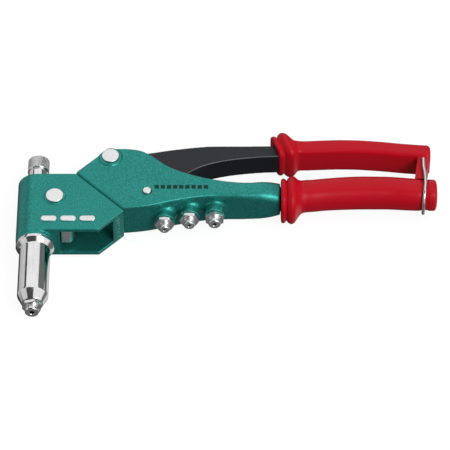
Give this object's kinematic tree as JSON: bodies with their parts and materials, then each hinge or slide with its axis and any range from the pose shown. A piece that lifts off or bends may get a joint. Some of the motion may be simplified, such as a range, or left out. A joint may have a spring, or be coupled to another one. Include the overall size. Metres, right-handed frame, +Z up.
{
  "type": "hand riveter",
  "caption": "Swivel-head hand riveter with a 45 degree joint, dipped grips, stowed nosepieces and a wire latch, closed and lying on its side.",
  "frame": {"origin": "on the surface the tool lies on, under the middle of its box, with the tool on its side and latched closed", "axes": "+X along the handles and away from the head, -Y the way the nose points, +Z up out of the tool's flat side"},
  "size_m": [0.2636, 0.1388, 0.0294],
  "materials": {
    "green_coat": "die-cast aluminium with a fine green powder coat",
    "black_paint": "satin black paint on steel",
    "red_grip": "dipped glossy soft vinyl",
    "polished_steel": "polished, nickel-plated steel",
    "satin_pin": "satin zinc plate",
    "machined_steel": "machined, lightly oiled steel",
    "spring_wire": "bright spring wire"
  },
  "bodies": {
    "frame": {"body_casting": "green_coat", "main_pivot_pin": "satin_pin", "main_pivot_clip": "satin_pin", "pivot_washer_upper": "machined_steel", "pivot_washer_lower": "machined_steel", "stop_pin": "satin_pin", "fixed_grip": "red_grip", "spare_nosepiece_small": "polished_steel", "spare_nosepiece_medium": "polished_steel", "spare_nosepiece_large": "polished_steel", "swivel_spigot": "machined_steel", "swivel_nut": "polished_steel"},
    "handle": {"lever_handle": "black_paint", "lever_grip": "red_grip", "roller_pin": "machined_steel"},
    "roller": {"cam_roller": "machined_steel"},
    "push_rod": {"push_rod": "machined_steel"},
    "head": {"head_casting": "green_coat", "claw_pivot_pin": "satin_pin", "claw_pivot_clip": "satin_pin", "claw_spacer_upper": "machined_steel", "claw_spacer_lower": "machined_steel", "nose_sleeve": "polished_steel", "fitted_nosepiece": "polished_steel", "swivel_washer": "machined_steel", "return_spring": "spring_wire"},
    "end_cap": {"end_cap": "polished_steel"},
    "claw": {"claw_lever": "polished_steel"},
    "jaws": {"draw_tube": "machined_steel", "draw_collar": "machined_steel", "jaw_case": "machined_steel", "jaw_1": "machined_steel", "jaw_2": "machined_steel", "jaw_3": "machined_steel", "jaw_pusher": "machined_steel", "jaw_spring": "spring_wire"},
    "latch": {"latch_bail": "spring_wire"}
  },
  "joints": [
    {"name": "handle_hinge", "type": "hinge", "parent": "frame", "child": "handle", "pos_m": [-0.07368, 0.04669, 0.0147], "axis": [0, 0, 1], "range_deg": [0, 37]},
    {"name": "roller_spin", "type": "hinge", "parent": "handle", "child": "roller", "pos_m": [-0.06648, 0.03229, 0.0147], "axis": [0, 0, 1], "continuous": true},
    {"name": "push_rod_slide", "type": "slide", "parent": "frame", "child": "push_rod", "axis": [0.7071, 0.7071, 0], "range_m": [0, 0.0106]},
    {"name": "head_swivel", "type": "hinge", "parent": "frame", "child": "head", "pos_m": [-0.07977, 0.01789, 0.0147], "axis": [0.7071, 0.7071, 0], "continuous": true},
    {"name": "claw_hinge", "type": "hinge", "parent": "head", "child": "claw", "pos_m": [-0.10787, 0.01409, 0.0147], "axis": [0, 0, 1], "range_deg": [0, 33.5]},
    {"name": "jaw_slide", "type": "slide", "parent": "head", "child": "jaws", "axis": [0, -1, 0], "range_m": [0, 0.0068], "deforming": ["return_spring"]},
    {"name": "end_cap_turn", "type": "hinge", "parent": "head", "child": "end_cap", "pos_m": [-0.11958, 0.04619, 0.0147], "axis": [0, 1, 0], "continuous": true},
    {"name": "latch_swing", "type": "hinge", "parent": "handle", "child": "latch", "pos_m": [0.12383, 0.04769, 0.0147], "axis": [0, 0, 1], "range_deg": [0, 100], "deforming": ["latch_bail"]}
  ],
  "couplings": [
    {"joint": "push_rod_slide", "follows": "handle_hinge", "m_per_rad": 0.01605},
    {"joint": "claw_hinge", "follows": "handle_hinge", "ratio": 0.89},
    {"joint": "jaw_slide", "follows": "handle_hinge", "m_per_rad": 0.0104}
  ]
}
